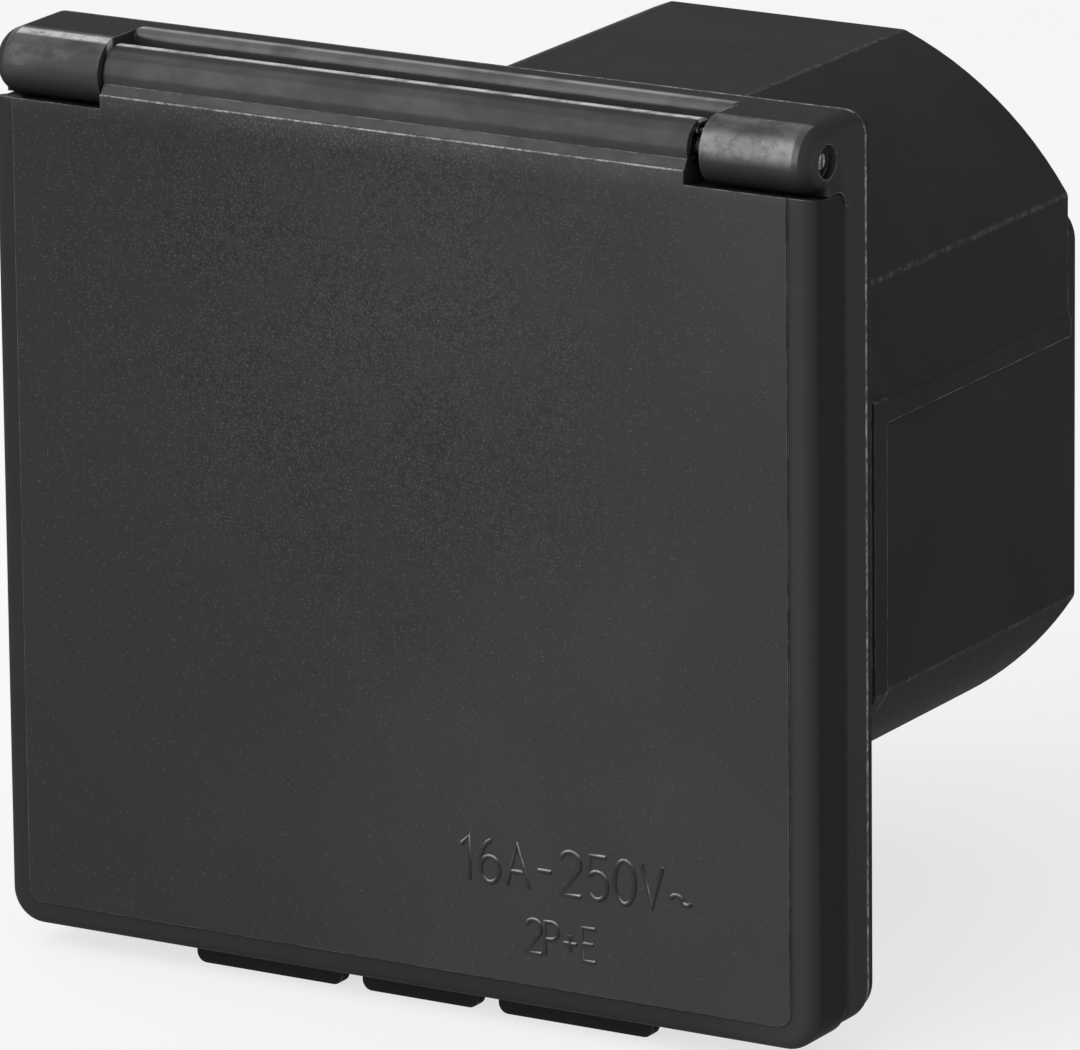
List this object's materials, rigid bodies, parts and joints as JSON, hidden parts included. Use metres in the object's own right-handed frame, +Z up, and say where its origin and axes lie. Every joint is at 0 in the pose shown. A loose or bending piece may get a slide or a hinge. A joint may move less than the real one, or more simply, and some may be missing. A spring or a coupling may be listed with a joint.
{
  "type": "wall power inlet box",
  "caption": "Flush wall power inlet box: square flange with a sprung flap, round inlet with contact pins, and a rear housing with a cable gland.",
  "frame": {"origin": "centre of the wall cut-out and of the four fixing holes, in the plane of the wall", "axes": "-Y out of the wall through the flap, +Z up, +X to the right seen from the front"},
  "size_m": [0.12, 0.1212, 0.122],
  "materials": {
    "housing_plastic": "satin black moulding",
    "cover_plastic": "satin black moulding",
    "lid_plastic": "fine grained black, satin border",
    "black_rubber": "matt",
    "blue_plastic": "satin",
    "carrier_plastic": "matt",
    "contact_brass": "turned, nickel bright",
    "plated_steel": "zinc plated",
    "pin_steel": "bright drawn",
    "gland_plastic": "satin"
  },
  "bodies": {
    "box": {"front_housing": "housing_plastic", "wall_gasket": "black_rubber", "rear_cover": "cover_plastic", "cover_screws": "plated_steel", "inlet_shroud": "blue_plastic", "inlet_seal": "black_rubber", "inlet_screws": "plated_steel", "pin_carrier": "carrier_plastic", "carrier_screws": "plated_steel", "live_pin": "contact_brass", "neutral_pin": "contact_brass", "earth_pin": "contact_brass", "terminal_screws": "plated_steel", "gland_body": "gland_plastic", "gland_seal": "black_rubber", "gland_locknut": "gland_plastic", "gland_cap": "gland_plastic", "gland_sleeve": "black_rubber", "hinge_pin": "pin_steel", "hinge_spring": "pin_steel"},
    "flap": {"lid": "lid_plastic", "lid_seal": "black_rubber"}
  },
  "joints": [
    {"name": "flap_hinge", "type": "hinge", "parent": "box", "child": "flap", "pos_m": [0, -0.0115, 0.05485], "axis": [-1, 0, 0], "range_deg": [0, 170], "stiffness_Nm_per_rad": 0.02, "springref_deg": -20.05, "deforming": ["hinge_spring"]}
  ]
}
